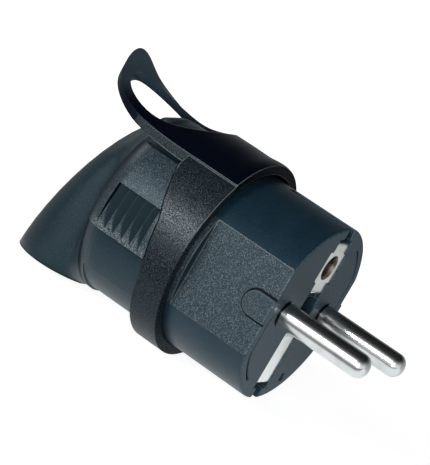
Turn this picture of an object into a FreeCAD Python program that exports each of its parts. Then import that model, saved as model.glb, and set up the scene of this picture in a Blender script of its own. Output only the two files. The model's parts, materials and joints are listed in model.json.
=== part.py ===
import FreeCAD, Part
import math
import os
import re
import Sketcher

Vector = FreeCAD.Vector

# An angled mains plug with a pull strap.
# +X is the way the pins point, +Z is up towards the finger loop, the cable leaves downwards.
# The origin is the middle of the face, between the two pins.

# Driving sizes in millimetres
sizes = {
    # contact pins and their terminals
    "pin_diameter": 4.8,
    "pin_length": 19.0,
    "pin_spacing": 19.0,
    "pin_tip_round": 2.0,
    "pin_root_diameter": 5.2,
    "pin_root_height": 0.25,
    "pin_clearance": 0.05,
    "collar_diameter": 8.2,
    "collar_thickness": 1.8,
    "terminal_diameter": 7.4,
    "terminal_length": 10.2,
    "wire_hole_diameter": 3.2,
    "wire_hole_depth": 8.0,
    "terminal_screw_gap": 1.0,
    "retainer_thickness": 2.0,
    "retainer_end_radius": 6.2,
    "retainer_waist": 7.2,
    # slotted screws
    "screw_diameter": 3.0,
    "screw_length": 4.5,
    "screw_head_diameter": 5.2,
    "screw_head_height": 1.6,
    "screw_slot_width": 0.8,
    "screw_slot_depth": 0.9,
    "screw_clearance": 0.1,
    "centre_screw_diameter": 3.5,
    "centre_screw_length": 16.0,
    "centre_head_diameter": 6.0,
    "centre_head_height": 2.4,
    "clamp_screw_length": 9.0,
    # front housing
    "body_radius": 18.4,
    "body_depth": 22.0,
    "lip_radius": 16.5,
    "lip_length": 4.0,
    "lip_clearance": 0.15,
    "face_thickness": 7.0,
    "face_round": 0.5,
    "cavity_radius": 15.2,
    "cavity_half_width": 13.8,
    "cavity_half_height": 12.8,
    "flat_half_width": 16.1,
    "flat_length": 17.5,
    "tongue_width": 4.8,
    "tongue_length": 5.7,
    "tongue_height": 0.7,
    "groove_inset": 1.7,
    "groove_width": 0.6,
    "groove_depth": 0.5,
    "groove_end": 14.2,
    "groove_start": 0.6,
    "well_width": 6.6,
    "well_depth": 5.0,
    "vent_size": 1.7,
    "vent_depth": 1.5,
    "vent_side": 7.8,
    "vent_drop": 13.7,
    "cut_over": 1.0,
    # earth clips, sleeve and bridge
    "clip_thickness": 0.8,
    "clip_sink": 0.25,
    "clip_width": 5.8,
    "clip_leg": 14.2,
    "clip_outer": 15.3,
    "clip_inner": 4.3,
    "clip_round": 0.7,
    "clip_fit": 0.15,
    "eye_width": 8.0,
    "eye_length": 6.2,
    "earth_hole_diameter": 5.2,
    "earth_hole_height": 10.0,
    "pocket_depth": 0.8,
    "throat_width": 3.2,
    "sleeve_wall": 0.7,
    "sleeve_length": 13.0,
    "sleeve_slit": 0.8,
    "sleeve_slit_length": 8.0,
    "bridge_thickness": 0.8,
    "bridge_width": 10.4,
    "bridge_top": 12.4,
    "bridge_bottom": 12.3,
    "bridge_setback": 0.6,
    "bridge_collar_length": 2.0,
    "bridge_collar_wall": 1.3,
    "earth_screw_drop": 8.9,
    "washer_width": 6.4,
    "washer_thickness": 0.9,
    # rear cover
    "cover_wall": 2.2,
    "dome_step": 0.2,
    "cap_start": 35.5,
    "cap_length": 8.5,
    "nose_start": 39.6,
    "nose_blend": 7.0,
    "outlet_centre": 48.8,
    "outlet_radius": 8.0,
    "outlet_drop": 18.9,
    "cable_radius": 4.7,
    "cable_bore_length": 8.0,
    "elbow_extra": 0.3,
    "passage_rise": 10.0,
    "boss_radius": 3.3,
    "insert_radius": 2.6,
    "insert_length": 8.0,
    "web_thickness": 2.4,
    "web_front": 26.8,
    "web_rear": 30.0,
    "clamp_centre": 33.6,
    "clamp_width": 5.6,
    "clamp_gap": 0.8,
    "clamp_half_length": 10.6,
    "clamp_thickness": 3.0,
    "clamp_seat": 6.0,
    "clamp_screw_side": 8.0,
    "post_radius": 2.8,
    # grip pads and the recessed band of the cover
    "pad_sink": 0.15,
    "pad_cap_start": 35.5,
    "pad_cap_length": 8.0,
    "pad_top": 13.1,
    "pad_bottom": 4.2,
    "rib_pitch": 2.0,
    "rib_wall": 0.5,
    "rib_depth": 1.1,
    "rib_front": 26.6,
    "rib_top": 5.0,
    "band_top": 12.8,
    "band_depth": 0.5,
    "band_end": 38.0,
    # pull strap
    "strap_front": 18.4,
    "strap_width": 6.1,
    "strap_clearance": 0.2,
    "strap_thickness": 1.95,
    "strap_lift": 0.25,
    "strap_gap": 0.3,
    "strap_flare_start": 4.0,
    "strap_flare_middle": 1.2,
    "strap_flare_end": 5.2,
    "arm_half_width": 13.8,
    "arm_bottom": 13.8,
    "loop_centre": 41.4,
    "opening_radius": 11.4,
    "loop_rise_start": 32.0,
    "loop_slope_rise": 5.0,
    "loop_curl_rise": 4.4,
    "loop_tip_thickness": 1.2,
    "panel_raise": 0.35,
    "far_arm_drop": 0.9,
    # angles in degrees
    "strap_angle": 1.8,
    "rib_tilt": 10.5,
}
rib_count = 5

# Shape of the formula curves
nose_power = 1.27
curl_power = 10
section_steps = 18
cap_steps = 4
swing_steps = 14
loop_steps = 16
loop_spacing = 1.5

# How close an edge lies to the face that it is picked by
touch = 0.01

doc = FreeCAD.newDocument("angled_plug")
sheet = doc.addObject("Spreadsheet::Sheet", "Sizes")
for row, (alias, value) in enumerate(sizes.items(), start=1):
    sheet.set(f"A{row}", alias)
    sheet.set(f"B{row}", str(value))
    sheet.setAlias(f"B{row}", alias)
doc.recompute()

alias_words = re.compile(r"\b(" + "|".join(sizes) + r")\b")
along_x = FreeCAD.Rotation(Vector(0, 1, 0), 90)
along_y = FreeCAD.Rotation(Vector(1, 0, 0), -90)
along_z = FreeCAD.Rotation()
upright = FreeCAD.Rotation(Vector(0, 1, 0), -90)
backwards = FreeCAD.Rotation(Vector(0, 0, 1), 180)
nodes = []


def size(*aliases):
    return sum(sheet.get(alias) for alias in aliases)


def bind(item, path, formula):
    item.setExpression(path, alias_words.sub(r"Sizes.\1", formula))


def place(item, x="0", y="0", z="0", turn=along_z):
    item.Placement = FreeCAD.Placement(Vector(), turn)
    for axis, formula in zip("xyz", (x, y, z)):
        bind(item, f"Placement.Base.{axis}", formula)
    return item


def rod(name, radius, length, x="0", y="0", z="0", turn=along_x):
    item = doc.addObject("Part::Cylinder", name)
    bind(item, "Radius", radius)
    bind(item, "Height", length)
    return place(item, x, y, z, turn)


def block(name, x, y, z):
    item = doc.addObject("Part::Box", name)
    for side, axis, (low, high) in zip(("Length", "Width", "Height"), "xyz", (x, y, z)):
        bind(item, side, f"({high}) - ({low})")
        bind(item, f"Placement.Base.{axis}", low)
    return item


def both(half):
    return f"-({half})", half


def joined(name, pieces):
    item = doc.addObject("Part::MultiFuse", name)
    item.Shapes = pieces
    item.Refine = False
    return item


def shared(name, pieces):
    item = doc.addObject("Part::MultiCommon", name)
    item.Shapes = pieces
    item.Refine = False
    return item


def cut(name, base, tools):
    item = doc.addObject("Part::Cut", name)
    item.Base = base
    item.Tool = tools[0] if len(tools) == 1 else joined(f"{name}_tools", tools)
    item.Refine = False
    return item


def mirrored(name, source, normal):
    item = doc.addObject("Part::Mirroring", name)
    item.Source = source
    item.Normal = normal
    return item


def rounded(name, base, radius, wanted):
    doc.recompute()
    item = doc.addObject("Part::Fillet", name)
    item.Base = base
    item.Edges = [(i, radius, radius) for i, edge in enumerate(base.Shape.Edges, start=1)
                  if wanted(edge)]
    return item


def new_outline(body, name, role, corners):
    # A straight-sided closed outline, each corner held by its own two distances
    sketch = body.newObject("Sketcher::SketchObject", name)
    plane = next(item for item in body.Origin.OriginFeatures if item.Role == role)
    sketch.AttachmentSupport = (plane, "")
    sketch.MapMode = "FlatFace"
    count = len(corners)
    turns = [2 * math.pi * i / count for i in range(count)]
    rough = [Vector(math.cos(turn), math.sin(turn), 0) for turn in turns]
    for i in range(count):
        sketch.addGeometry(Part.LineSegment(rough[i], rough[(i + 1) % count]), False)
    for i in range(count):
        sketch.addConstraint(Sketcher.Constraint("Coincident", i, 2, (i + 1) % count, 1))
    for i, (across, up) in enumerate(corners):
        for kind, start, formula in (("DistanceX", rough[i].x, across), ("DistanceY", rough[i].y, up)):
            index = sketch.addConstraint(Sketcher.Constraint(kind, -1, 1, i, 1, start))
            bind(sketch, f"Constraints[{index}]", formula)
    return sketch


def padded(name, role, corners, thickness):
    body = doc.addObject("PartDesign::Body", name)
    profile = new_outline(body, f"{name}_outline", role, corners)
    pad = body.newObject("PartDesign::Pad", f"{name}_pad")
    pad.Profile = profile
    pad.SideType = "Symmetric"
    bind(pad, "Length", thickness)
    return body


def turned(name, corners):
    # A solid turned about its own X axis; corners are (along the axis, radius)
    body = doc.addObject("PartDesign::Body", name)
    profile = new_outline(body, f"{name}_profile", "XY_Plane", corners)
    turning = body.newObject("PartDesign::Revolution", f"{name}_turning")
    turning.Profile = profile
    turning.ReferenceAxis = (profile, ["H_Axis"])
    turning.Angle = 360
    return body


def slotted_screw(name, shank_diameter, shank_length, head_diameter, head_height):
    # The head stands on the local X axis, its seat at the local origin
    body = turned(name, [
        (f"-{shank_length}", "0"),
        (f"-{shank_length}", f"{shank_diameter} / 2"),
        ("0", f"{shank_diameter} / 2"),
        ("0", f"{head_diameter} / 2"),
        (head_height, f"{head_diameter} / 2"),
        (head_height, "0"),
    ])
    slot = new_outline(body, f"{name}_slot_outline", "YZ_Plane", [
        (f"-{head_diameter}", "-screw_slot_width / 2"),
        (head_diameter, "-screw_slot_width / 2"),
        (head_diameter, "screw_slot_width / 2"),
        (f"-{head_diameter}", "screw_slot_width / 2"),
    ])
    bind(slot, "AttachmentOffset.Base.z", head_height)
    pocket = body.newObject("PartDesign::Pocket", f"{name}_slot")
    pocket.Profile = slot
    bind(pocket, "Length", "screw_slot_depth")
    return body


def keep(item, label):
    item.Label = label
    nodes.append(item)


# Places that several pieces share
face_back = "-face_thickness"
collar_back = "-(face_thickness + collar_thickness)"
retainer_back = "-(face_thickness + collar_thickness + retainer_thickness)"
terminal_back = "-(face_thickness + collar_thickness + terminal_length)"
terminal_screw_x = f"{retainer_back} - screw_head_diameter / 2 - terminal_screw_gap"
strip_back = "-(clip_sink + clip_thickness)"
leg_end = "-clip_leg"
bridge_back = "-(clip_leg - bridge_setback)"
bridge_front = "-(clip_leg - bridge_setback - bridge_thickness)"
sleeve_end = "-(clip_sink + clip_thickness + sleeve_length)"
sleeve_radius = "(earth_hole_diameter / 2 + sleeve_wall)"
strap_rear = "(strap_front + strap_width)"
cover_front = "(strap_front + strap_width + strap_gap)"
chamber_end = "clamp_centre + clamp_width / 2 + clamp_gap"
dome_radius = "(body_radius + dome_step)"
ring_inner = f"({dome_radius} + strap_clearance)"
ring_outer = f"({ring_inner} + strap_thickness)"
pad_radius = f"({ring_outer} - pad_sink)"
far = "3 * body_radius"
strap_turn = FreeCAD.Rotation(Vector(1, 0, 0), size("strap_angle"))
rib_turn = FreeCAD.Rotation(Vector(1, 0, 0), size("rib_tilt"))

# Contact pins, each with a collar and a drilled terminal behind the face
for label, side in (("line_pin", "-"), ("neutral_pin", "")):
    pin = turned(f"{label}_turned", [
        ("pin_length", "0"),
        ("pin_length", "pin_diameter / 2"),
        ("pin_root_height", "pin_diameter / 2"),
        ("pin_root_height", "pin_root_diameter / 2"),
        (face_back, "pin_root_diameter / 2"),
        (face_back, "collar_diameter / 2"),
        (collar_back, "collar_diameter / 2"),
        (collar_back, "terminal_diameter / 2"),
        (terminal_back, "terminal_diameter / 2"),
        (terminal_back, "wire_hole_diameter / 2"),
        (f"{terminal_back} + wire_hole_depth", "wire_hole_diameter / 2"),
        (f"{terminal_back} + wire_hole_depth", "0"),
    ])
    doc.recompute()
    turning = pin.Tip
    tip = pin.newObject("PartDesign::Fillet", f"{label}_tip")
    ends = [i for i, edge in enumerate(turning.Shape.Edges, start=1)
            if edge.BoundBox.XMin > size("pin_length") - touch and edge.Length > size("pin_diameter")]
    tip.Base = (turning, [f"Edge{i}" for i in ends])
    bind(tip, "Radius", "pin_tip_round")
    place(pin, "0", f"{side}pin_spacing / 2")
    screw_hole = rod(f"{label}_screw_hole", "screw_diameter / 2 + screw_clearance",
                     "screw_length + terminal_diameter", terminal_screw_x, f"{side}pin_spacing / 2",
                     "terminal_diameter / 2 - screw_length - screw_clearance", along_z)
    keep(cut(f"{label}_solid", pin, [screw_hole]), label)

# Terminal screws, driven in from above
for label, side in (("line_terminal_screw", "-"), ("neutral_terminal_screw", "")):
    screw = slotted_screw(label, "screw_diameter", "screw_length",
                          "screw_head_diameter", "screw_head_height")
    place(screw, terminal_screw_x, f"{side}pin_spacing / 2", "terminal_diameter / 2", upright)
    keep(screw, label)

# Retainer plate that traps the pins' collars against the face
ends = [rod(f"retainer_end_{i}", "retainer_end_radius", "retainer_thickness", retainer_back, place_y)
        for i, place_y in enumerate(both("pin_spacing / 2"))]
waist = block("retainer_bar", (retainer_back, collar_back), both("pin_spacing / 2"),
              both("retainer_waist / 2"))
cavity_limit = block("retainer_limit", (retainer_back, collar_back),
                     both("cavity_half_width - clip_fit"), both("cavity_half_height - clip_fit"))
plate = shared("retainer_plate", [joined("retainer_outline", ends + [waist]), cavity_limit])
openings = [rod(f"retainer_hole_{i}", "terminal_diameter / 2 + screw_clearance", "3 * retainer_thickness",
                f"{retainer_back} - retainer_thickness", place_y)
            for i, place_y in enumerate(both("pin_spacing / 2"))]
openings.append(rod("retainer_screw_hole", "centre_screw_diameter / 2 + screw_clearance",
                    "3 * retainer_thickness", f"{retainer_back} - retainer_thickness"))
keep(cut("retainer_solid", plate, openings), "contact_retainer")

# Earth clips: folded strips along the face, each with an outer and an inner leg
for label, side in (("earth_clip_upper", ""), ("earth_clip_lower", "-")):
    strip = padded(f"{label}_strip", "XZ_Plane", [
        (leg_end, f"{side}clip_outer"),
        ("-clip_sink", f"{side}clip_outer"),
        ("-clip_sink", f"{side}clip_inner"),
        (leg_end, f"{side}clip_inner"),
        (leg_end, f"{side}(clip_inner + clip_thickness)"),
        (strip_back, f"{side}(clip_inner + clip_thickness)"),
        (strip_back, f"{side}(clip_outer - clip_thickness)"),
        (leg_end, f"{side}(clip_outer - clip_thickness)"),
    ], "clip_width")
    doc.recompute()
    flat = strip.Tip
    bend = strip.newObject("PartDesign::Fillet", f"{label}_bend")
    folds = [i for i, edge in enumerate(flat.Shape.Edges, start=1)
             if edge.BoundBox.XMin > -size("clip_sink") - touch
             and edge.BoundBox.YLength > size("clip_width") / 2]
    bend.Base = (flat, [f"Edge{i}" for i in folds])
    bind(bend, "Radius", "clip_round")
    if side:
        keep(strip, label)
        continue
    eye = block("earth_eye", (strip_back, "-clip_sink"), both("eye_width / 2"),
                ("earth_hole_height - eye_length / 2", "earth_hole_height + eye_length / 2"))
    earth_hole = rod("earth_hole", "earth_hole_diameter / 2", "3 * clip_thickness",
                     f"{strip_back} - clip_thickness", z="earth_hole_height")
    keep(cut(f"{label}_solid", joined(f"{label}_plate", [strip, eye]), [earth_hole]), label)

# Spring sleeve behind the round hole, slit from its rear end
sleeve = cut("earth_sleeve_tube",
             rod("earth_sleeve_outside", sleeve_radius, "sleeve_length", sleeve_end, z="earth_hole_height"),
             [rod("earth_sleeve_bore", "earth_hole_diameter / 2", "sleeve_length", sleeve_end,
                  z="earth_hole_height")])
slit = block("earth_sleeve_slit", (sleeve_end, f"{sleeve_end} + sleeve_slit_length"),
             both("earth_hole_diameter"),
             ("earth_hole_height - sleeve_slit / 2", "earth_hole_height + sleeve_slit / 2"))
keep(cut("earth_sleeve_solid", sleeve, [slit]), "earth_pin_sleeve")

# Bridge plate that joins both clips and the sleeve, with a threaded collar for the earth screw
bridge_plate = block("bridge_plate", (bridge_back, bridge_front), both("bridge_width / 2"),
                     ("-bridge_bottom", "bridge_top"))
bridge_collar = rod("bridge_collar", "screw_diameter / 2 + screw_clearance + bridge_collar_wall",
                    "bridge_collar_length", bridge_front, z="-earth_screw_drop")
bridge_cuts = [
    rod("bridge_boss_hole", "boss_radius + lip_clearance", far, f"-({far})"),
    rod("bridge_sleeve_hole", f"{sleeve_radius} + pin_clearance", far, f"-({far})", z="earth_hole_height"),
    rod("bridge_screw_hole", "screw_diameter / 2 + screw_clearance", far, f"-({far})",
        z="-earth_screw_drop"),
]
for name, low, high in (("upper", "clip_inner", "clip_inner + clip_thickness"),
                        ("lower", "-(clip_inner + clip_thickness)", "-clip_inner")):
    bridge_cuts.append(block(f"bridge_slot_{name}", (f"-({far})", "0"),
                             both("clip_width / 2 + pin_clearance"),
                             (f"{low} - pin_clearance", f"{high} + pin_clearance")))
bridge_blank = joined("bridge_blank", [bridge_plate, bridge_collar])
keep(cut("bridge_solid", bridge_blank, bridge_cuts), "earth_bridge")

# Square washer and screw that clamp the earth wire
washer = block("earth_washer_plate", (f"{bridge_back} - washer_thickness", bridge_back),
               both("washer_width / 2"),
               ("-earth_screw_drop - washer_width / 2", "-earth_screw_drop + washer_width / 2"))
washer_hole = rod("earth_washer_hole", "screw_diameter / 2 + screw_clearance", far, f"-({far})",
                  z="-earth_screw_drop")
keep(cut("earth_washer_solid", washer, [washer_hole]), "earth_clamp_washer")
earth_screw = slotted_screw("earth_terminal_screw", "screw_diameter", "screw_length",
                            "screw_head_diameter", "screw_head_height")
place(earth_screw, f"{bridge_back} - washer_thickness", "0", "-earth_screw_drop", backwards)
keep(earth_screw, "earth_terminal_screw")

# Front housing: a round body with side flats, a thick face and a lip that enters the cover
housing_body = rod("housing_body", "body_radius", "body_depth", "-body_depth")
housing_edge = rounded("housing_edge", housing_body, size("face_round"),
                       lambda edge: edge.BoundBox.XMin > -touch)
housing_lip = rod("housing_lip", "lip_radius", "lip_length + face_thickness",
                  "-(body_depth + lip_length)")
side_cuts = [block(f"side_flat_{i}", ("-flat_length", far), span, both(far))
             for i, span in enumerate((("flat_half_width", far), (f"-({far})", "-flat_half_width")))]
shoulder = cut("housing_flats", joined("housing_round", [housing_edge, housing_lip]), side_cuts)
tongue_pieces = [
    block("tongue_bar", ("-(tongue_length - tongue_width / 2)", "0"),
          both("flat_half_width + tongue_height"), both("tongue_width / 2")),
    rod("tongue_end", "tongue_width / 2", "2 * (flat_half_width + tongue_height)",
        "-(tongue_length - tongue_width / 2)", "-(flat_half_width + tongue_height)", turn=along_y),
]
housing_blank = joined("housing_blank", [shoulder] + tongue_pieces)

cavity = shared("housing_cavity", [
    rod("cavity_round", "cavity_radius", far, f"{face_back} - ({far})"),
    block("cavity_box", (f"{face_back} - ({far})", face_back), both("cavity_half_width"),
          both("cavity_half_height")),
])
housing_cuts = [cavity]
for i, place_y in enumerate(both("pin_spacing / 2")):
    housing_cuts.append(rod(f"pin_hole_{i}", "pin_root_diameter / 2 + pin_clearance", far,
                            f"-({far}) / 2", place_y))
housing_cuts.append(block("centre_well", ("-well_depth", "cut_over"), both("well_width / 2"),
                          both("well_width / 2")))
housing_cuts.append(rod("centre_hole", "centre_screw_diameter / 2 + screw_clearance", far, f"-({far})"))
housing_cuts.append(rod("sleeve_bore", f"{sleeve_radius} + pin_clearance", f"-({sleeve_end}) + clip_fit",
                        f"{sleeve_end} - clip_fit", z="earth_hole_height"))
housing_cuts.append(block("eye_recess", (strip_back, "cut_over"), both("eye_width / 2 + clip_fit"),
                          ("earth_hole_height - eye_length / 2 - clip_fit",
                           "earth_hole_height + eye_length / 2 + clip_fit")))
housing_cuts.append(block("vent_recess", ("-vent_depth", "cut_over"),
                          ("vent_side - vent_size / 2", "vent_side + vent_size / 2"),
                          ("-vent_drop - vent_size / 2", "-vent_drop + vent_size / 2")))
for name, mirror in (("upper", 1), ("lower", -1)):
    spans = {
        "strip": ((strip_back, "cut_over"), "clip_width / 2 + clip_fit", "0", "clip_outer + clip_fit"),
        "inner": ((f"-({far})", "cut_over"), "clip_width / 2 + clip_fit", "clip_inner - clip_fit",
                  "clip_inner + clip_thickness + clip_fit"),
        "outer": ((f"{leg_end} - clip_fit", "cut_over"), "clip_width / 2 + clip_fit",
                  "clip_outer - clip_thickness - clip_fit", "clip_outer + pocket_depth"),
        "throat": ((f"{leg_end} - clip_fit", "cut_over"), "throat_width / 2", "clip_outer", far),
    }
    for part, (length, half, low, high) in spans.items():
        height = (low, high) if mirror > 0 else (f"-({high})", f"-({low})")
        housing_cuts.append(block(f"{part}_slot_{name}", length, both(half), height))


def face_ring(name, inset):
    return shared(name, [
        rod(f"{name}_round", f"body_radius - ({inset})", "2 * groove_depth", "-groove_depth"),
        block(f"{name}_box", ("-groove_depth", "groove_depth"), both(f"flat_half_width - ({inset})"),
              both(far)),
    ])


groove_ring = cut("groove_ring", face_ring("groove_outside", "groove_inset"),
                  [face_ring("groove_inside", "groove_inset + groove_width")])
groove_spans = joined("groove_spans", [
    block("groove_span_near", ("-groove_depth", "groove_depth"), (f"-({far})", "0"),
          ("-groove_end", "-groove_start")),
    block("groove_span_far", ("-groove_depth", "groove_depth"), ("0", far),
          ("groove_start", "groove_end")),
])
housing_cuts.append(shared("face_grooves", [groove_ring, groove_spans]))
keep(cut("front_housing_solid", housing_blank, housing_cuts), "front_housing")

# Screw and threaded insert that hold the two housings together
centre_screw = slotted_screw("centre_screw", "centre_screw_diameter", "centre_screw_length",
                             "centre_head_diameter", "centre_head_height")
place(centre_screw, "-well_depth")
keep(centre_screw, "centre_screw")
insert_outside = rod("insert_outside", "insert_radius", "insert_length",
                     f"{retainer_back} - insert_length")
insert_bore = rod("insert_bore", "centre_screw_diameter / 2 + screw_clearance", far, f"-({far})")
keep(cut("insert_solid", insert_outside, [insert_bore]), "boss_insert")


# Rear cover: a barrel with a rounded end, and a nose that swings down from its top to the outlet
def soft_larger(first, second, blend):
    # The larger of two widths, with a hollow blend where they cross
    near = max(0, blend - abs(first - second))
    return max(first, second) + (near ** 2 / (4 * blend) if blend else 0)


def cover_section(top, bottom, swing):
    # One closed outline in the plane through both points and the sideways axis
    barrel = size("body_radius", "dome_step")
    nose = size("outlet_radius")
    length = (top - bottom).Length
    half = []
    for i in range(section_steps + 1):
        along = length / 2 * (1 - math.cos(math.pi * i / section_steps))
        point = bottom + (top - bottom) * (along / length)
        past_end = max(0, -point.x - size("cap_start")) / size("cap_length")
        barrel_width = math.sqrt(max(0, barrel ** 2 - point.z ** 2) * max(0, 1 - past_end ** 2))
        from_end = max(0, abs(along - length / 2) - (length / 2 - nose))
        nose_width = math.sqrt(max(0, nose ** 2 - from_end ** 2))
        width = soft_larger(barrel_width, nose_width, size("nose_blend") * math.sqrt(swing))
        half.append(Vector(point.x, width if 0 < i < section_steps else 0, point.z))
    other = [Vector(point.x, -point.y, point.z) for point in reversed(half[1:-1])]
    outline = Part.BSplineCurve()
    points = half + other
    outline.interpolate(points, PeriodicFlag=True, Parameters=list(range(len(points) + 1)))
    return outline.toShape()


def swung_points(turn):
    # The nose's rear profile is a flattened quarter ellipse; its underside runs to the outlet's front
    start = size("nose_start")
    drop = size("outlet_drop")
    barrel = size("body_radius", "dome_step")
    rear_reach = size("outlet_centre", "outlet_radius") - start
    front_reach = size("outlet_centre") - size("outlet_radius") - start
    across = math.sin(turn)
    up = math.cos(turn)
    top = Vector(-start - rear_reach * across ** nose_power, 0, (barrel + drop) * up ** nose_power - drop)
    bottom = Vector(-start - front_reach * across, 0, (drop - barrel) * up - drop)
    return top, bottom


def cover_form():
    # Bands between neighbouring outlines, closed by a flat at each end
    barrel = Vector(0, 0, size("body_radius", "dome_step"))
    front = Vector(size("strap_front", "strap_width", "strap_gap"))
    outlines = [cover_section(barrel - front, -barrel - front, 0)]
    for i in range(cap_steps):
        back = Vector(size("cap_start") + (size("nose_start") - size("cap_start")) * i / cap_steps)
        outlines.append(cover_section(barrel - back, -barrel - back, 0))
    for i in range(swing_steps + 1):
        turn = math.pi / 2 * i / swing_steps
        outlines.append(cover_section(*swung_points(turn), math.sin(turn)))
    faces = [Part.makeRuledSurface(first, second) for first, second in zip(outlines, outlines[1:])]
    faces += [Part.Face(Part.Wire(outline)) for outline in (outlines[0], outlines[-1])]
    shell = Part.makeShell(faces)
    shell.sewShape()
    solid = Part.makeSolid(shell)
    if solid.Volume < 0:
        solid.reverse()
    return solid


dome = doc.addObject("Part::Feature", "dome")
dome.Shape = cover_form()
cover_collar = rod("cover_collar", "body_radius", f"{cover_front} - body_depth + cover_wall",
                   f"-{cover_front} - cover_wall")

# Side grip pads, flush with the strap and rounded off at the barrel's end
pad_end = doc.addObject("Part::Ellipsoid", "pad_end")
for side, radius in (("Radius1", "pad_cap_length"), ("Radius2", pad_radius), ("Radius3", pad_radius)):
    bind(pad_end, side, radius)
place(pad_end, "-pad_cap_start", turn=along_x)
pad_round = rod("pad_round", pad_radius, "pad_cap_start - body_depth", "-pad_cap_start")
pad_form = joined("pad_form", [pad_round, pad_end])
pad_zone = block("pad_zone", (f"-({far})", "0"), both(far), ("-pad_bottom", "pad_top"))


def strap_side(name, gap):
    # The strap's ring seen from the side: narrow below, flaring back towards the arms
    prism = padded(name, "XZ_Plane", [
        (f"-strap_front + {gap}", f"-({far})"),
        (f"-{strap_rear} - {gap}", f"-({far})"),
        (f"-{strap_rear} - {gap}", "-strap_flare_start"),
        (f"-{strap_rear} - strap_flare_middle - {gap}", "strap_flare_start"),
        (f"-{strap_rear} - strap_flare_end - {gap}", "arm_bottom"),
        (f"-{strap_rear} - strap_flare_end - {gap}", far),
        (f"-strap_front + {gap}", far),
    ], f"2 * ({far})")
    return place(prism, turn=strap_turn)


pads = cut("pads", shared("pad_blank", [pad_form, pad_zone]), [strap_side("pad_trim", "strap_gap")])

# Sawtooth grip grooves that deepen upwards, each a long slope behind a steep wall
comb_corners = [("0", pad_radius), ("0", "-rib_depth")]
for i in range(1, rib_count + 1):
    comb_corners.append((f"-rib_pitch * {i} + rib_wall", "0"))
    comb_corners.append((f"-rib_pitch * {i}", "-rib_depth"))
comb_corners.append((f"-rib_pitch * {rib_count}", pad_radius))
comb = doc.addObject("PartDesign::Body", "grip_comb")
comb_outline = new_outline(comb, "grip_comb_outline", "XY_Plane", comb_corners)
comb_pad = comb.newObject("PartDesign::Pad", "grip_comb_pad")
comb_pad.Profile = comb_outline
comb_pad.Reversed = True
bind(comb_pad, "Length", "body_radius")
place(comb, "-rib_front", f"{pad_radius} - rib_depth", "rib_top", rib_turn)
combs = [comb, mirrored("grip_comb_near", comb, Vector(0, 1, 0))]

# Shallow band along the underside, between the strap and the nose
band_zone = block("band_zone", ("-band_end", f"-{strap_rear}"), both(far), (f"-({far})", "-band_top"))
band = cut("band_cut", band_zone, [rod("band_keep", f"{dome_radius} - band_depth", far, f"-({far})")])
cover_blank = cut("cover_blank", joined("cover_outside", [dome, cover_collar, pads]), combs + [band])

# The cover's inside: a round chamber, a bent cable passage and the seat of the front housing's lip
elbow_z = "-outlet_drop + cable_bore_length"
passage_line = Vector(size("outlet_centre") - size("clamp_centre"), 0, size("passage_rise"))
passage_turn = FreeCAD.Rotation(Vector(0, 0, 1), passage_line)
elbow = doc.addObject("Part::Sphere", "cable_elbow")
bind(elbow, "Radius", "cable_radius + elbow_extra")
place(elbow, "-outlet_centre", z=elbow_z)
inner_cuts = [
    rod("cover_chamber", f"{dome_radius} - cover_wall", f"{chamber_end} - body_depth", f"-({chamber_end})"),
    rod("lip_socket", "lip_radius + lip_clearance", "lip_length + lip_clearance + cover_wall",
        "-(body_depth + lip_length + lip_clearance)"),
    rod("cable_bore", "cable_radius", "2 * cable_bore_length", "-outlet_centre",
        z="-outlet_drop - cable_bore_length", turn=along_z),
    rod("cable_passage", "cable_radius", "outlet_centre - clamp_centre", "-outlet_centre",
        z=elbow_z, turn=passage_turn),
    elbow,
]
shell = cut("cover_shell", cover_blank, inner_cuts)
post_rods = [rod(f"clamp_post_{i}", "post_radius", f"{dome_radius} - clamp_seat", "-clamp_centre",
                 place_y, f"-{dome_radius}", along_z)
             for i, place_y in enumerate(both("clamp_screw_side"))]
posts = shared("clamp_posts", [cover_blank, joined("clamp_post_rods", post_rods)])
web = block("boss_web", ("-web_rear", "-web_front"), both("web_thickness / 2"),
            both(f"{dome_radius} - cover_wall / 2"))
boss = rod("boss", "boss_radius", f"web_rear + {retainer_back}", "-web_rear")
boss_cuts = [
    rod("boss_hole", "centre_screw_diameter / 2 + screw_clearance", "centre_screw_length + insert_length",
        "-(well_depth + centre_screw_length + screw_clearance)"),
    rod("insert_seat", "insert_radius + pin_clearance", "insert_length", f"{retainer_back} - insert_length"),
]
for i, place_y in enumerate(both("clamp_screw_side")):
    boss_cuts.append(rod(f"clamp_thread_{i}", "screw_diameter / 2 + screw_clearance", "clamp_screw_length",
                         "-clamp_centre", place_y,
                         "-clamp_seat + clamp_thickness - clamp_screw_length", along_z))
keep(cut("rear_cover_solid", joined("cover_carcass", [shell, posts, web, boss]), boss_cuts), "rear_cover")

# Cord clamp across the cable, on two posts
clamp_bar = block("clamp_bar", ("-clamp_centre - clamp_width / 2", "-clamp_centre + clamp_width / 2"),
                  both("clamp_half_length"), ("-clamp_seat", "-clamp_seat + clamp_thickness"))
clamp_cuts = [rod("clamp_saddle", "cable_radius", far, f"-({far})", z="-clamp_seat - cable_radius / 2")]
for i, place_y in enumerate(both("clamp_screw_side")):
    clamp_cuts.append(rod(f"clamp_hole_{i}", "screw_diameter / 2 + screw_clearance", "3 * clamp_thickness",
                          "-clamp_centre", place_y, "-clamp_seat - clamp_thickness", along_z))
keep(cut("cable_clamp_solid", clamp_bar, clamp_cuts), "cable_clamp")
clamp_pair = []
for i, place_y in enumerate(both("clamp_screw_side")):
    screw = slotted_screw(f"clamp_screw_{i}", "screw_diameter", "clamp_screw_length",
                          "screw_head_diameter", "screw_head_height")
    clamp_pair.append(place(screw, "-clamp_centre", place_y, "-clamp_seat + clamp_thickness", upright))
clamp_screws = doc.addObject("Part::Compound", "clamp_screw_pair")
clamp_screws.Links = clamp_pair
keep(clamp_screws, "clamp_screws")

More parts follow.
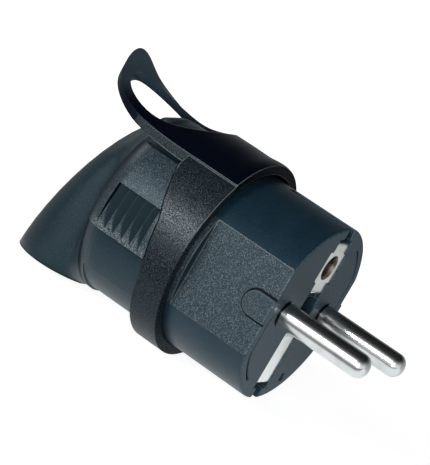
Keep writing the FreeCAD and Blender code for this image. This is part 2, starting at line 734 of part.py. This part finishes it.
# Pull strap: a ring round the body whose top runs back into a finger loop
ring = cut("strap_ring", rod("ring_outside", ring_outer, far, f"-({far})", z="strap_lift"),
           [rod("ring_inside", ring_inner, far, f"-({far})", z="strap_lift")])
panel_zone = padded("panel_zone", "YZ_Plane", [
    ("-arm_half_width", "0"),
    ("arm_half_width", "0"),
    ("arm_half_width", far),
    ("-arm_half_width", far),
], f"2 * ({far})")
place(panel_zone, turn=strap_turn)
strap_band = shared("strap_band", [ring, strap_side("strap_side_view", "0")])
ring_band = cut("strap_sides", strap_band, [panel_zone])


def arch(x, half_width, near_edge, crown, far_edge, thickness):
    # A closed section of the loop sheet at one distance back
    def line_of(drop):
        return [Vector(x, side * half_width, height - drop)
                for side, height in ((-1, near_edge), (0, crown), (1, far_edge))]
    upper = line_of(0)
    lower = line_of(thickness)
    return Part.Wire([
        Part.Arc(*upper).toShape(),
        Part.LineSegment(upper[2], lower[2]).toShape(),
        Part.Arc(*reversed(lower)).toShape(),
        Part.LineSegment(lower[0], upper[0]).toShape(),
    ])


def loop_sheet():
    # Arched like the ring over the body, then flatter across as it slopes up and curls at its end
    thick = size("strap_thickness")
    thin = size("loop_tip_thickness")
    outer = size("body_radius", "dome_step", "strap_clearance", "strap_thickness")
    half_width = size("arm_half_width", "strap_gap")
    front = size("strap_front")
    tip = size("loop_centre", "arm_half_width")
    end = tip + size("strap_gap")
    crown_height = size("strap_lift") + outer
    panel_edge = size("strap_lift") + math.sqrt(outer ** 2 - half_width ** 2) + size("panel_raise")
    flatten_start = size("loop_centre") - size("opening_radius") / 2
    flatten_end = size("loop_centre", "opening_radius")
    run = tip - size("loop_rise_start")
    slope_rise = size("loop_slope_rise")
    curl_rise = size("loop_curl_rise")
    sections = []
    for step in range(loop_steps + 1):
        back = front + (end - front) * (1 - (1 - step / loop_steps) ** loop_spacing)
        along = max(0, back - size("loop_rise_start")) / run
        climb = slope_rise * along ** 2 + curl_rise * along ** curl_power
        slope = (2 * slope_rise * along + curl_power * curl_rise * along ** (curl_power - 1)) / run
        thickness = (thick + (thin - thick) * along) * math.hypot(1, slope)
        arched = min(1, max(0, (flatten_end - back) / (flatten_end - flatten_start)))
        edge = panel_edge + climb
        crown = edge + max(size("panel_raise") / 2, (crown_height - panel_edge) * arched)
        sag = max(0, back - flatten_start) / (end - flatten_start)
        far_edge = edge - size("far_arm_drop") * math.sin(math.pi * sag)
        sections.append(arch(-back, half_width, edge, crown, far_edge, thickness))
    return Part.makeLoft(sections, True)


sheet_piece = doc.addObject("Part::Feature", "loop_sheet")
sheet_piece.Shape = loop_sheet()
place(sheet_piece, turn=strap_turn)
plan_front = padded("loop_plan_front", "XY_Plane", [
    ("-loop_centre", "-arm_half_width"),
    ("0", "-arm_half_width"),
    ("0", "arm_half_width"),
    ("-loop_centre", "arm_half_width"),
], f"2 * ({far})")
place(plan_front, turn=strap_turn)
loop_plan = joined("loop_plan", [
    plan_front,
    rod("loop_plan_end", "arm_half_width", far, "-loop_centre", turn=strap_turn),
])
finger_opening = rod("finger_opening", "opening_radius", far, "-loop_centre", turn=strap_turn)
loop = cut("finger_loop", shared("loop_trimmed", [sheet_piece, loop_plan]), [finger_opening])
keep(joined("pull_strap_solid", [ring_band, loop]), "pull_strap")

# Check every object, then write one file for each sub-part
doc.recompute()
failed = [item.Name for item in doc.Objects if "Invalid" in item.State or "Error" in item.State]
for item in nodes:
    if item.Shape.isNull() or not item.Shape.isValid():
        failed.append(item.Label)
if failed:
    raise RuntimeError("failed: " + ", ".join(failed))
os.makedirs("parts", exist_ok=True)
for item in nodes:
    item.Shape.exportStep(f"parts/{item.Label}.step")
    solids = len(item.Shape.Solids)
    print(f"{item.Label}: {solids} solid(s), {item.Shape.Volume:.1f} mm3")
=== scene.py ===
import json
import math

import bpy
from mathutils import Matrix, Vector


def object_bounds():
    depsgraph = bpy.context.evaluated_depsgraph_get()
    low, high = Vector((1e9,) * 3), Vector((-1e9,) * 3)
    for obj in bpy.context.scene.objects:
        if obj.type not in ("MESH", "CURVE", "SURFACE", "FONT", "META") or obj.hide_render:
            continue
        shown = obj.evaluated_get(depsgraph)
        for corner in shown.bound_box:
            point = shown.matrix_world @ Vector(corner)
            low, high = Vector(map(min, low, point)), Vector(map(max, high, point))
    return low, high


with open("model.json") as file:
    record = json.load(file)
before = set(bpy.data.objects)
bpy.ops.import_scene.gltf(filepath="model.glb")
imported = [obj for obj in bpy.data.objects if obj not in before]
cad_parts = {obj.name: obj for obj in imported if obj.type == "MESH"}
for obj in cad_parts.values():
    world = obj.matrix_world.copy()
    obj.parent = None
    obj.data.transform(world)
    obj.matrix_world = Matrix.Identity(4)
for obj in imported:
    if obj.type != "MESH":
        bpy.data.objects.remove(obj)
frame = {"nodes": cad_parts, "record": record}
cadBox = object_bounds()
mm = 0.001
print("frame loaded:", len(frame["nodes"]), "nodes")


class Wire:
    # one socket of a node tree; arithmetic on it adds Math nodes
    def __init__(self, tree, socket=None):
        self.tree = tree
        self.socket = socket

    def node(self, kind, settings=None, sockets=None, out=0):
        made = self.tree.nodes.new("ShaderNode" + kind)
        for name, value in (settings or {}).items():
            setattr(made, name, value)
        for name, value in (sockets or {}).items():
            if isinstance(value, Wire):
                self.tree.links.new(value.socket, made.inputs[name])
            else:
                made.inputs[name].default_value = value
        return Wire(self.tree, made.outputs[out] if len(made.outputs) else None)

    def maths(self, operation, first, second=0.0):
        return self.node("Math", {"operation": operation}, {0: first, 1: second})

    def __add__(self, other):
        return self.maths("ADD", self, other)

    def __radd__(self, other):
        return self.maths("ADD", other, self)

    def __sub__(self, other):
        return self.maths("SUBTRACT", self, other)

    def __rsub__(self, other):
        return self.maths("SUBTRACT", other, self)

    def __mul__(self, other):
        return self.maths("MULTIPLY", self, other)

    def __rmul__(self, other):
        return self.maths("MULTIPLY", other, self)

    def __truediv__(self, other):
        return self.maths("DIVIDE", self, other)

    def __pow__(self, other):
        return self.maths("POWER", self, other)

    def __abs__(self):
        return self.maths("ABSOLUTE", self)

    def larger(self, other):
        return self.maths("MAXIMUM", self, other)

    def smaller(self, other):
        return self.maths("MINIMUM", self, other)

    def along(self, axis):
        return self.node("SeparateXYZ", sockets={0: self}, out=axis)

    def ease(self, low, high):
        # 0 below low, 1 above high, smooth between
        return self.node("MapRange", {"interpolation_type": "SMOOTHSTEP"},
                         {"Value": self, "From Min": low, "From Max": high})

    def between(self, rise, fall):
        return self.ease(*rise) * (1 - self.ease(*fall))

    def past(self, span):
        # ease for a place, with its span in mm
        return self.ease(span[0] * mm, span[1] * mm)

    def before(self, span):
        return 1 - self.past(span)

    def atLeast(self, least):
        # a mask that keeps a little where it was 0
        return least + self * (1 - least)

    def blend(self, low, high):
        # this value picks between two colours
        return self.node("Mix", {"data_type": "RGBA"}, {0: self, 6: low, 7: high}, 2)


def newFinish(name):
    finish = bpy.data.materials.new(name)
    finish.use_nodes = True
    finish.node_tree.nodes.clear()
    return finish, Wire(finish.node_tree)


def showFinish(shader):
    shader.node("OutputMaterial", sockets={"Surface": shader})


def objectPlace(desk):
    return desk.node("TexCoord", out="Object")


def speckle(place, size, detail=2.0, roughness=0.5):
    return place.node("TexNoise", sockets={"Vector": place, "Scale": 1 / (size * mm), "Detail": detail,
                                           "Roughness": roughness})


def softEdge(desk, radius):
    return desk.node("Bevel", {"samples": 8}, {"Radius": radius})


def edgeGlintMask(rounded, span):
    # 1 along edges, where the rounded normal leaves the face's own; it places painted edge highlights
    flat = rounded.node("NewGeometry", out="Normal")
    same = rounded.node("VectorMath", {"operation": "DOT_PRODUCT"}, {0: rounded, 1: flat}, "Value")
    return 1 - same.ease(*span)


def grainBump(height, bump, rounded=None):
    sockets = {"Strength": bump["strength"], "Distance": bump["depth"] * mm, "Height": height}
    if rounded:
        sockets["Normal"] = rounded
    return height.node("Bump", sockets=sockets)


def weigh(zones, amounts):
    # the sum of the named zones, each by its own amount
    return sum(zones[name] * amount for name, amount in amounts.items())


# lengths in mm; a pair is where something fades in, from none to full
housingLook = {
    "colours": {
        "smooth": (0.0030, 0.0165, 0.0290, 1),
        "dull": (0.0055, 0.0200, 0.0330, 1),
        "nose": (0.0030, 0.0120, 0.0185, 1),
        "grained": (0.0060, 0.0160, 0.0250, 1),
        # light specks painted as glints on the grain, here and on the face
        "glintSpeck": (0.1500, 0.1720, 0.1800, 1),
        # the ribs' smooth faces, darkened as painted shade
        "ribShade": (0.0015, 0.0090, 0.0140, 1),
        "face": (0.0150, 0.0400, 0.0580, 1),
        "faceGlint": (0.1700, 0.2150, 0.2400, 1),
        # a light colour for painted highlights on edges and on the pads' lower part
        "wearAndGlint": (0.3000, 0.3400, 0.3500, 1),
        "hollow": (0.0015, 0.0030, 0.0045, 1),    # painted shade: a dark matt colour laid along the tongue's edge and in the valley behind the pads
        "sheen": (0.72, 0.90, 1.0, 1),
    },
    "x": {
        "face": (-0.4, -0.1),
        "flatRear": (-17.6, -17.4),
        "collarFront": (-17.75, -17.6),
        "strapMiddle": (-22.0, -21.0),
        "coverFront": (-24.0, -22.0),
        # behind this, no painted edge highlights
        "glintRear": (-25.0, -23.0),
        "ribFront": (-26.7, -26.5),
        "ribRear": (-36.8, -36.6),
        "valley": (-39.0, -37.4),
        "padRear": (-40.0, -37.0),
        "nose": (-43.0, -39.0),
    },
    "side": {"flat": (15.95, 16.05), "tongueTop": (16.3, 16.4)},    # from the middle, to both sides
    "z": {"flatTop": (5.0, 8.0), "padLow": (-4.0, -1.0)},
    "noseLine": {"x": 0.83, "z": 0.56, "span": (-49.0, -42.0)},     # slants across the nose, grain in front
    "pad": {"radius": 20.6, "capStart": 35.5, "capLength": 8.0},    # the grip pads' form, capped at the rear
    "padLevels": {                    # 1 is on that form, less is deeper
        "ribRoot": (0.83, 0.86),
        "ribTop": (0.962, 0.974),
        "skin": (0.972, 0.985),
        "above": (1.02, 1.04),
        "shadeBelow": (0.92, 0.96),
        "shadeAbove": (1.04, 1.07),
    },
    "tongue": {                       # end is the middle of its round end, back from the face
        "end": 3.3,
        "half": 2.4,
        # the next two set how far out from the tongue's edge its painted shade line runs, and how it fades
        "shadeLine": 0.22,
        "shadeLineFade": (0.14, 0.34),
    },
    "grain": {"size": 0.17, "detail": 2.0, "roughness": 0.7},
    "grainLevels": {
        "glintSpeck": (0.52, 0.69),
        "glint": (0.44, 0.64),
        "face": (0.46, 0.66),
        "coat": (0.42, 0.66),
    },
    "cloud": {"size": 5.0, "tone": (0.3, 0.7)},
    "padGrain": 0.85,
    # share of painted glint specks kept on the smooth parts
    "smoothGlint": 0.14,
    "coverTone": 0.6,
    # how strongly the pads' lower part is painted lighter, as a highlight
    "padLowGlint": 0.7,
    "edge": {"radius": 0.26, "valleyMore": 2.6, "wearAndGlint": (0.95, 0.999)},
    # how strongly edges are painted with highlights, more on the flats' top edge
    "edgeGlint": 0.25,
    "flatTopGlint": 0.6,
    "bump": {"strength": 0.55, "depth": 0.07, "onSmooth": 0.30},
    "roughness": 0.34,
    "rougher": {"grained": 0.06, "fine": 0.12, "ribs": 0.3, "face": 0.12},
    "gloss": 0.36,
    "coat": {"flat": 0.22, "pad": 0.28, "noseGrain": 0.34},
    "coatRoughness": 0.40,
    # how dark the painted shade is along the tongue's edge and in the valley behind the pads
    "shadeLineDark": 0.9,
    "padShade": 0.6,
}


def housingZones(place):
    look = housingLook
    pad, levels, tongue, noseLine = look["pad"], look["padLevels"], look["tongue"], look["noseLine"]
    x, y, z = [place.along(axis) for axis in "XYZ"]
    side = abs(y)
    ahead = {name: x.past(span) for name, span in look["x"].items()}
    collar = (1 - ahead["collarFront"]) * ahead["strapMiddle"]
    flat = side.past(look["side"]["flat"]) * ahead["flatRear"].larger(collar)

    pastCap = (-pad["capStart"] * mm - x).larger(0) / (pad["capLength"] * mm)
    padForm = (y * y + z * z) / (pad["radius"] * mm) ** 2 + pastCap * pastCap
    padSkin = padForm.between(levels["skin"], levels["above"])
    padSkin = padSkin * (1 - ahead["strapMiddle"]) * ahead["padRear"]
    ribs = padForm.between(levels["ribRoot"], levels["ribTop"])
    ribs = ribs * (1 - ahead["ribFront"]) * ahead["ribRear"]
    # painted shade in the valley where the pads' rounded rear runs into the nose
    padShade = padForm.between(levels["shadeBelow"], levels["shadeAbove"]) * (1 - ahead["padRear"])

    pastEnd = (tongue["end"] * mm + x).smaller(0)
    fromTongue = (pastEnd ** 2 + z * z) ** 0.5 - tongue["half"] * mm
    # a painted shade line along the tongue's edge on the flats
    shadeLine = flat * abs(fromTongue - tongue["shadeLine"] * mm).before(tongue["shadeLineFade"])
    nose = 1 - ahead["nose"]
    return {
        "fine": speckle(place, **look["grain"]),
        "flat": flat,
        "flatTop": flat * z.past(look["z"]["flatTop"]),
        "pad": padSkin,
        # the pads' lower part, where a painted highlight goes
        "padLow": padSkin * z.before(look["z"]["padLow"]),
        "padShade": padShade,
        "grained": flat.larger(padSkin * look["padGrain"]),
        "ribs": ribs,
        "face": ahead["face"],
        "shadeLine": shadeLine * side.before(look["side"]["tongueTop"]),
        "nose": nose,
        "noseGrain": nose * (x * noseLine["x"] + z * noseLine["z"]).past(noseLine["span"]),
        "cover": 1 - ahead["coverFront"],
        "valley": 1 - ahead["valley"],
        # where painted edge highlights are allowed, on the front housing only
        "glinting": ahead["glintRear"],
    }


def housingFinish():
    look, colours, edge = housingLook, housingLook["colours"], housingLook["edge"]
    finish, desk = newFinish("housing_moulding")
    place = objectPlace(desk)
    zones = housingZones(place)
    fine, grained, face = zones["fine"], zones["grained"], zones["face"]
    level = {name: fine.ease(*span) for name, span in look["grainLevels"].items()}
    rounded = softEdge(desk, (edge["radius"] + zones["valley"] * edge["valleyMore"]) * mm)

    cloud = speckle(place, look["cloud"]["size"]).ease(*look["cloud"]["tone"])
    colour = cloud.blend(colours["smooth"], colours["dull"])
    colour = zones["nose"].larger(zones["cover"] * look["coverTone"]).blend(colour, colours["nose"])
    colour = grained.blend(colour, colours["grained"])
    # grain with painted glints: light specks on the grained plastic, fewer on the smooth parts
    colour = (level["glintSpeck"] * grained.atLeast(look["smoothGlint"])).blend(colour, colours["glintSpeck"])
    # painted highlight: light specks on the pads' lower part, as if lit from below
    colour = (zones["padLow"] * level["glint"] * look["padLowGlint"]).blend(colour, colours["wearAndGlint"])
    # the ribs' faces are smooth and unspeckled, and coloured darker still as painted shade
    colour = zones["ribs"].blend(colour, colours["ribShade"])
    # painted highlights along the front housing's edges, strongest on the flats' top edge
    edgeGlint = edgeGlintMask(rounded, edge["wearAndGlint"]) * zones["glinting"]
    edgeGlint = edgeGlint * (look["edgeGlint"] + zones["flatTop"] * look["flatTopGlint"])
    colour = edgeGlint.blend(colour, colours["wearAndGlint"])
    # the face's grain, with light specks painted as glints
    colour = face.blend(colour, level["face"].blend(colours["face"], colours["faceGlint"]))

    height = fine * grained.larger(face).atLeast(look["bump"]["onSmooth"])
    plastic = desk.node("BsdfPrincipled", sockets={
        "Base Color": colour,
        "Roughness": look["roughness"] + weigh(zones, look["rougher"]),
        "Specular IOR Level": look["gloss"],
        "Specular Tint": colours["sheen"],
        "Coat Weight": level["coat"] * weigh(zones, look["coat"]),
        "Coat Roughness": look["coatRoughness"],
        "Normal": grainBump(height, look["bump"], rounded),
    })
    # painted shade: a dark matt shader mixed in along the tongue's edge and in the valley behind the pads
    dark = desk.node("BsdfDiffuse", sockets={"Color": colours["hollow"]})
    hollow = (zones["shadeLine"] * look["shadeLineDark"]).larger(zones["padShade"] * look["padShade"])
    showFinish(desk.node("MixShader", sockets={0: hollow, 1: plastic, 2: dark}))
    return finish


strapLook = {
    "colours": {
        "top": (0.0008, 0.0018, 0.0060, 1),
        # a light colour painted on the loop's tip where it faces forward, a painted highlight
        "tip": (0.0450, 0.0920, 0.1200, 1),
        # a light colour for painted highlights on the strap's edges
        "wearAndGlint": (0.2600, 0.2900, 0.3000, 1),
        "side": (0.0030, 0.0070, 0.0110, 1),
        # light specks painted as glints on the strap's grained sides
        "glintSpeck": (0.0500, 0.0620, 0.0680, 1),
        "sheen": (0.62, 0.86, 1.0, 1),
    },
    "turn": math.radians(1.8),        # the strap sits turned about X by this much
    "panelEdge": (13.72, 13.78),      # mm from the middle, where the grained sides begin
    "sideTop": (0.0, 2.0),            # below this height all of the ring is grained
    # where the loop tip's painted highlight lies, by height, by x and by how far it faces forward
    "tip": {"z": (15.0, 23.0), "x": (-51.0, -43.0), "forward": (0.1, 0.45)},
    "grain": {"size": 0.17, "detail": 3.0, "roughness": 0.6},
    "grainLevels": {"glintSpeck": (0.50, 0.68), "coat": (0.42, 0.66)},
    "glintFade": (-14.0, 0.0),        # painted glint specks and the coat weaken down the ring to the share on the next line, so its lower part is darker
    "lowGlint": 0.35,
    "ringFront": (-20.5, -19.5),
    "ringForward": (0.80, 0.95),      # how far the ring's front face looks along X
    "ringGlint": (2.0, 10.0),           # the ring's front edge gets painted highlights above this height
    # the loop's edges get painted highlights above this height and behind this x
    "loopGlint": {"z": (12.0, 13.0), "x": (-42.0, -34.0)},
    "edge": {"radius": 0.25, "wearAndGlint": (0.92, 0.998)},
    # how strongly the strap's edges are painted with highlights
    "edgeGlint": 0.7,
    "bump": {"strength": 0.5, "depth": 0.06, "onTop": 0.2},
    "roughness": 0.34,
    "rougher": {"side": 0.08, "ringFace": 0.4},
    "gloss": 0.15,
    "coatRoughness": 0.38,
}


def strapZones(place):
    look, tip, loop = strapLook, strapLook["tip"], strapLook["loopGlint"]
    x, y, z = [place.along(axis) for axis in "XYZ"]
    forward = place.node("NewGeometry", out="Normal").along("X")
    across = abs(y * math.cos(look["turn"]) + z * math.sin(look["turn"]))
    side = across.past(look["panelEdge"]).larger(z.before(look["sideTop"]))
    ringFront = x.past(look["ringFront"])
    return {
        "side": side,
        # the grained sides, with fewer painted glint specks low on the ring
        "grain": side * z.past(look["glintFade"]).atLeast(look["lowGlint"]),
        "tip": z.past(tip["z"]) * x.before(tip["x"]) * forward.ease(*tip["forward"]),
        "ringFace": forward.ease(*look["ringForward"]) * ringFront,
        # where edges get painted highlights
        "glint": (ringFront * z.past(look["ringGlint"])).larger(z.past(loop["z"]) * x.past(loop["x"])),
    }


def strapFinish():
    look, colours, edge = strapLook, strapLook["colours"], strapLook["edge"]
    finish, desk = newFinish("strap_moulding")
    place = objectPlace(desk)
    zones = strapZones(place)
    fine = speckle(place, **look["grain"])
    level = {name: fine.ease(*span) for name, span in look["grainLevels"].items()}
    rounded = softEdge(desk, edge["radius"] * mm)

    # painted highlight: the loop's tip lighter where it faces forward
    colour = zones["tip"].blend(colours["top"], colours["tip"])
    colour = zones["side"].blend(colour, colours["side"])
    # painted glints: light specks on the grained sides
    colour = (level["glintSpeck"] * zones["grain"]).blend(colour, colours["glintSpeck"])
    # painted highlights along the ring's front edge and the loop's edges
    edgeGlint = edgeGlintMask(rounded, edge["wearAndGlint"]) * zones["glint"] * look["edgeGlint"]
    colour = edgeGlint.blend(colour, colours["wearAndGlint"])

    height = fine * zones["side"].atLeast(look["bump"]["onTop"])
    showFinish(desk.node("BsdfPrincipled", sockets={
        "Base Color": colour,
        "Roughness": look["roughness"] + weigh(zones, look["rougher"]),
        "Specular IOR Level": look["gloss"],
        "Specular Tint": colours["sheen"],
        "Coat Weight": level["coat"] * zones["grain"],
        "Coat Roughness": look["coatRoughness"],
        "Normal": grainBump(height, look["bump"], rounded),
    }))
    return finish


metalLook = {
    "pin": {"colour": (0.76, 0.76, 0.75, 1), "roughness": 0.22, "streak": 0.03},
    "strip": {"colour": (0.97, 0.96, 0.92, 1), "roughness": 0.32, "streak": 0.10},
    "brass": {"colour": (0.58, 0.42, 0.28, 1), "roughness": 0.30, "streak": 0.12},
    "steel": {"colour": (0.55, 0.55, 0.56, 1), "roughness": 0.30, "streak": 0.12},
    "wearAndGlint": (0.86, 0.85, 0.83, 1),    # times the metal's own colour
    "cloud": {"size": 4.0, "tone": (0.45, 0.7)},
    "rubSize": 0.25,
    "rubStretch": (0.15, 1, 1),       # drawn out along the pins
    "bump": {"strength": 0.02, "depth": 0.02},
    "seat": (0.27, 0.45),             # mm from the face, where the painted shade at the pins' root ends
    "seatColour": (0.03, 0.03, 0.035, 1),
}


def metalFinish(name, kind):
    metal, cloud = metalLook[kind], metalLook["cloud"]
    finish, desk = newFinish(name)
    place = objectPlace(desk)
    stretched = desk.node("Mapping", sockets={"Vector": place, "Scale": metalLook["rubStretch"]})
    rub = speckle(stretched, metalLook["rubSize"])
    wearAndGlint = [own * fade for own, fade in zip(metal["colour"], metalLook["wearAndGlint"])]
    colour = speckle(place, cloud["size"]).ease(*cloud["tone"]).blend(metal["colour"], wearAndGlint)
    if kind == "pin":
        # painted shade: the pins are coloured dark where they leave the face
        colour = place.along("X").past(metalLook["seat"]).blend(metalLook["seatColour"], colour)
    showFinish(desk.node("BsdfPrincipled", sockets={
        "Base Color": colour,
        "Metallic": 1.0,
        "Roughness": metal["roughness"] + (rub - 0.5) * metal["streak"],
        "Normal": grainBump(rub, metalLook["bump"]),
    }))
    return finish


innerLook = {
    "shaded": (0.62, 0.61, 0.56, 1),
    "light": (0.70, 0.69, 0.64, 1),
    "grainSize": 0.5,
    "bump": {"strength": 0.15, "depth": 0.03},
    "roughness": 0.5,
    "grainRoughness": 0.1,
}


def innerFinish():
    look = innerLook
    finish, desk = newFinish("inner_moulding")
    fine = speckle(objectPlace(desk), look["grainSize"])
    showFinish(desk.node("BsdfPrincipled", sockets={
        "Base Color": fine.blend(look["shaded"], look["light"]),
        "Roughness": look["roughness"] + fine * look["grainRoughness"],
        "Normal": grainBump(fine, look["bump"]),
    }))
    return finish


finishes = {
    "housing_plastic": housingFinish(),
    "strap_rubber": strapFinish(),
    "pin_metal": metalFinish("pin_plating", "pin"),
    "strip_metal": metalFinish("strip_plating", "strip"),
    "brass": metalFinish("plain_brass", "brass"),
    "screw_steel": metalFinish("zinc_steel", "steel"),
    "inner_plastic": innerFinish(),
}
for subpart in frame["record"]["subparts"]:
    mesh = frame["nodes"][subpart["node"]].data
    mesh.materials.clear()
    mesh.materials.append(finishes[subpart["material_slot"]])
print("finishes set:", len(finishes))


# floor and surround, in metres; the wall's pairs are parts of a direction
studio = {
    "floorReach": 3.0,
    "floorColour": (0.50, 0.50, 0.50, 1),
    "shadow": (0.042, 0.14),          # from the origin, where the floor turns plain white
    "shadowDepth": 0.10,
    "flagMiddle": -0.060,             # a dark card lies in front, seen only in reflections
    "flagFade": (0.0224, 0.0336),
    "flagDark": 0.97,
    "floorBack": (0.0, 0.13),
    "floorLeft": (-0.10, -0.03),
    "wallTop": (0.0, 0.85),
    "wallBack": (-0.2, 0.5),
    "wallLeft": (-0.9, -0.4),
    "ceiling": 0.02,
    "backDim": 0.55,                  # the studio is darker behind the object and on its left
    "leftDim": 0.75,
    "ambient": 0.20,
    "skyTint": (0.90, 0.97, 1.0, 1),
    "white": (1, 1, 1, 1),            # what the camera itself sees
}


def rayKinds(desk):
    names = ("Is Camera Ray", "Is Glossy Ray", "Is Transmission Ray")
    return [desk.node("LightPath", out=name) for name in names]


def dimmed(back, left):
    return (1 - back * studio["backDim"]) * (1 - (1 - left) * studio["leftDim"])


def makeFloor(height):
    reach = studio["floorReach"]
    mesh = bpy.data.meshes.new("floor")
    corners = [(-reach, -reach), (reach, -reach), (reach, reach), (-reach, reach)]
    mesh.from_pydata([(x, y, height) for x, y in corners], [], [(0, 1, 2, 3)])
    floor = bpy.data.objects.new("floor", mesh)
    bpy.context.scene.collection.objects.link(floor)
    finish, desk = newFinish("floor_white")
    camera, glossy, through = rayKinds(desk)
    place = objectPlace(desk)
    x, y = [place.along(axis) for axis in "XY"]
    near = 1 - ((x * x + y * y) ** 0.5).ease(*studio["shadow"])
    flag = 1 - abs(y - studio["flagMiddle"]).ease(*studio["flagFade"])
    mirrored = dimmed(y.ease(*studio["floorBack"]), x.ease(*studio["floorLeft"]))
    mirrored = mirrored * (1 - flag * studio["flagDark"])
    bright = (camera * (1 - mirrored) + mirrored) * (1 - near * studio["shadowDepth"])
    seen = camera.larger(glossy).larger(through)
    tint = camera.blend(studio["skyTint"], studio["white"])
    glow = desk.node("Emission", sockets={"Color": tint, "Strength": seen * bright})
    cloth = desk.node("BsdfDiffuse", sockets={"Color": studio["floorColour"]})
    showFinish(desk.node("AddShader", sockets={0: glow, 1: cloth}))
    mesh.materials.append(finish)


def makeSurround():
    world = bpy.data.worlds.new("surround")
    bpy.context.scene.world = world
    world.use_nodes = True
    world.node_tree.nodes.clear()
    desk = Wire(world.node_tree)
    camera, glossy, through = rayKinds(desk)
    way = desk.node("TexCoord", out="Generated")
    across, deep, up = [way.along(axis) for axis in "XYZ"]
    wall = 1 - up.ease(*studio["wallTop"]) * (1 - studio["ceiling"])
    wall = wall * dimmed(deep.ease(*studio["wallBack"]), across.ease(*studio["wallLeft"]))
    strength = studio["ambient"] * wall
    strength = strength + glossy.larger(through) * (wall - strength)
    strength = strength + camera * (1 - strength)
    tint = camera.blend(studio["skyTint"], studio["white"])
    sky = desk.node("Background", sockets={"Color": tint, "Strength": strength})
    desk.node("OutputWorld", sockets={"Surface": sky})


lamps = {
    "key": {"place": (0.20, -0.74, 0.09), "size": 0.24, "watts": 3.6},
    "second": {"place": (-0.30, -0.67, 0.20), "size": 0.24, "watts": 3.2},
    "rearRim": {"place": (-0.60, 0.15, 0.30), "size": 0.30, "watts": 0.8},
}
lampTarget = Vector((-0.02, 0, 0))


def makeLamps():
    for name, lamp in lamps.items():
        data = bpy.data.lights.new(name, "AREA")
        data.size = lamp["size"]
        data.energy = lamp["watts"]
        light = bpy.data.objects.new(name, data)
        light.location = lamp["place"]
        aim = lampTarget - Vector(lamp["place"])
        light.rotation_euler = aim.to_track_quat("-Z", "Y").to_euler()
        bpy.context.scene.collection.objects.link(light)


# fitted to the pins and the face in the photo
view = {
    "place": (0.12986, -0.3823, 0.07564),
    "right": (0.7701, 0.4021, 0.4953),
    "up": (-0.5222, -0.0486, 0.8514),
    "back": (0.3665, -0.9143, 0.1725),
    "lens": 172.34,
    "sensor": 36,
}


def makeCamera():
    data = bpy.data.cameras.new("camera")
    data.lens = view["lens"]
    data.sensor_width = view["sensor"]
    data.sensor_fit = "AUTO"
    camera = bpy.data.objects.new("camera", data)
    turn = Matrix((view["right"], view["up"], view["back"])).transposed()
    camera.matrix_world = Matrix.Translation(view["place"]) @ turn.to_4x4()
    bpy.context.scene.collection.objects.link(camera)
    bpy.context.scene.camera = camera


makeFloor(cadBox[0][2])
makeSurround()
makeLamps()
makeCamera()
bpy.context.scene.view_settings.view_transform = "Standard"
print("studio set")
